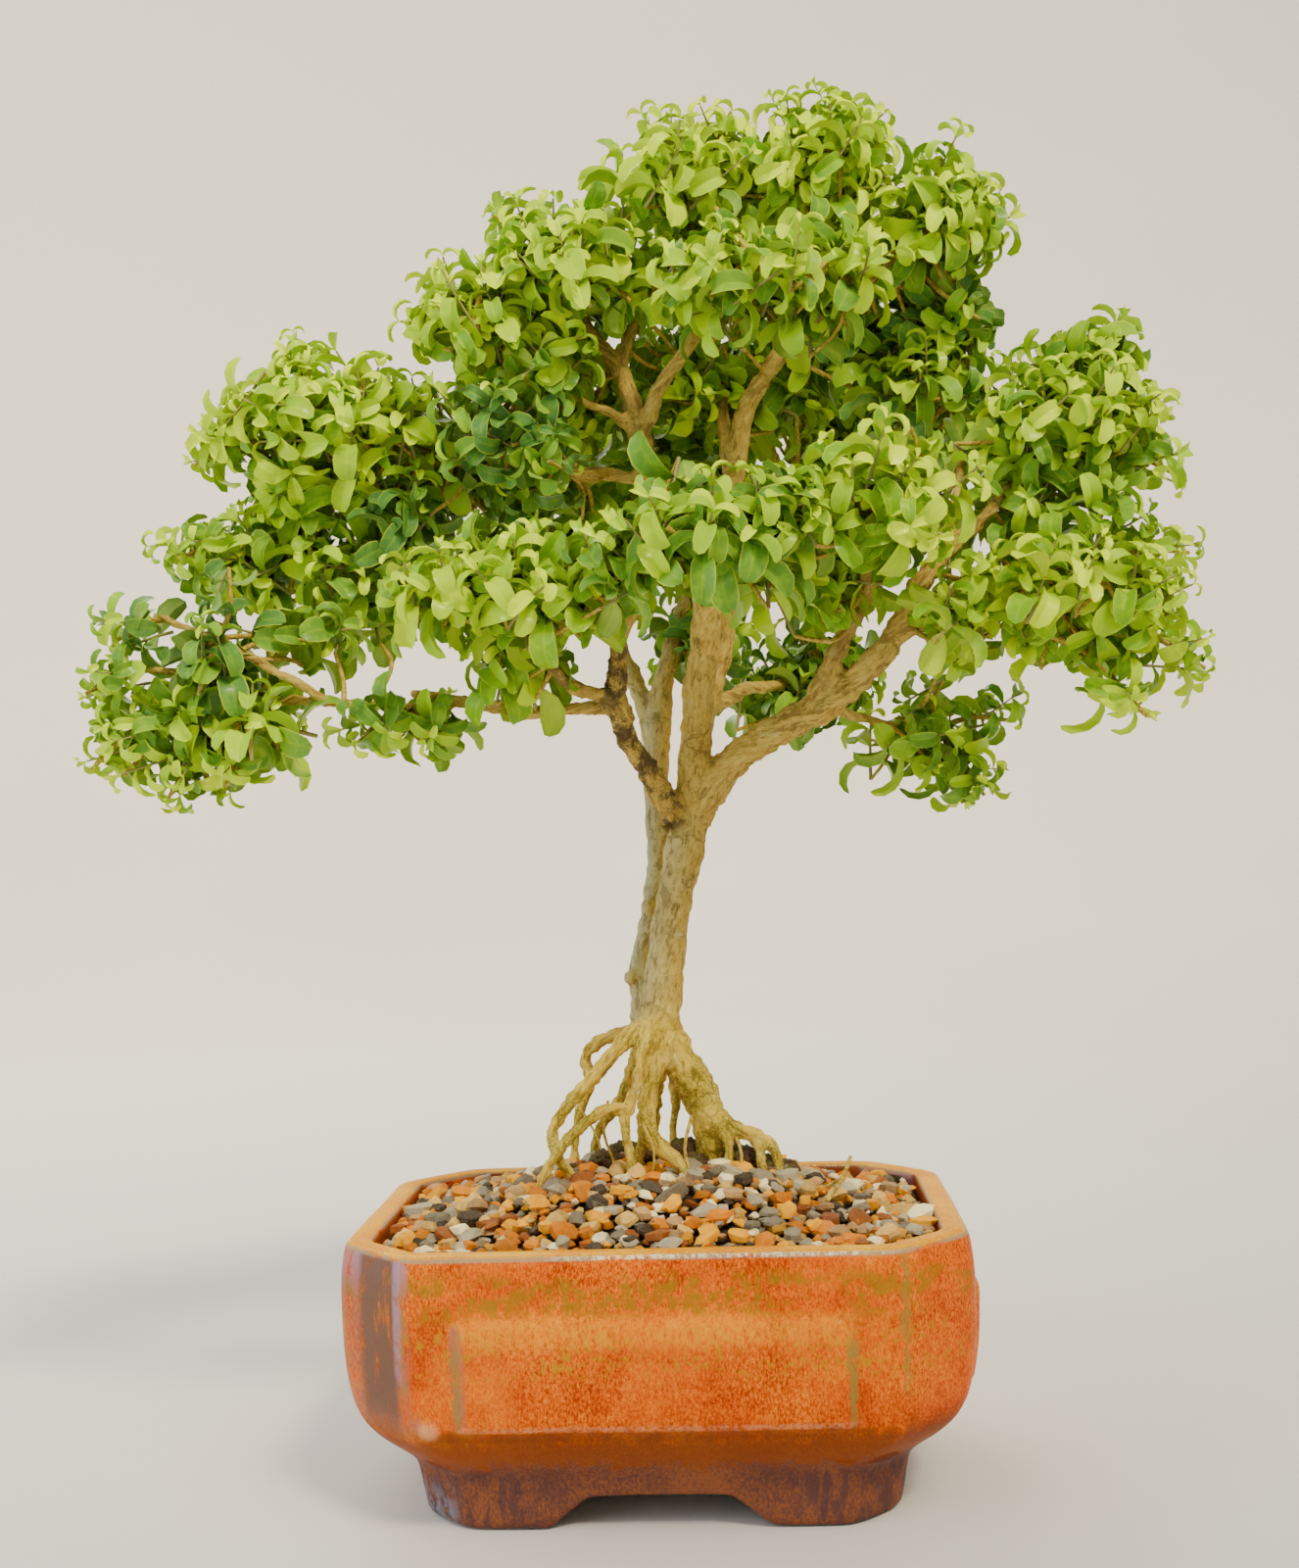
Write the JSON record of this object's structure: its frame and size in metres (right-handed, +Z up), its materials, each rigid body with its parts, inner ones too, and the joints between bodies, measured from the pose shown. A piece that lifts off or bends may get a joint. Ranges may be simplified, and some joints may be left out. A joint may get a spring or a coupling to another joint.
{
  "type": "kingsville boxwood bonsai",
  "caption": "Small boxwood bonsai with exposed roots, two fused stems and dense leaf pads, in a glazed rectangular pot with cut corners, standing on four feet.",
  "frame": {"origin": "bottom centre of the whole tree's bounding box, on the surface that the pot stands on", "axes": "+Z up, +X to the right and -Y towards the viewer of the tree's front"},
  "size_m": [0.3016, 0.184, 0.3657],
  "materials": {
    "glaze": "gloss",
    "drain_mesh": "matte",
    "gravel": "matte",
    "bark": "matte",
    "lime_leaf": "satin",
    "fresh_leaf": "satin",
    "old_leaf": "satin"
  },
  "bodies": {
    "root": {"pot": "glaze", "drain_mesh_left": "drain_mesh", "drain_mesh_right": "drain_mesh", "soil_bed": "gravel", "trunk": "bark", "foliage_crown_left": "lime_leaf", "foliage_crown_top": "lime_leaf", "foliage_crown_right": "fresh_leaf", "foliage_crown_front": "fresh_leaf", "foliage_crown_back": "fresh_leaf", "foliage_crown_side": "old_leaf", "foliage_shoulder_left": "fresh_leaf", "foliage_shoulder_low": "lime_leaf", "foliage_left_high": "lime_leaf", "foliage_left_inner": "old_leaf", "foliage_left_mid": "fresh_leaf", "foliage_left_outer": "old_leaf", "foliage_left_low": "fresh_leaf", "foliage_left_spur": "old_leaf", "foliage_front_left": "lime_leaf", "foliage_front_centre": "fresh_leaf", "foliage_front_right": "lime_leaf", "foliage_right_high": "fresh_leaf", "foliage_right_low": "lime_leaf", "foliage_right_twig": "fresh_leaf", "foliage_back_centre": "fresh_leaf", "foliage_back_left": "old_leaf", "foliage_back_right": "fresh_leaf", "foliage_back_low": "old_leaf"}
  },
  "joints": []
}
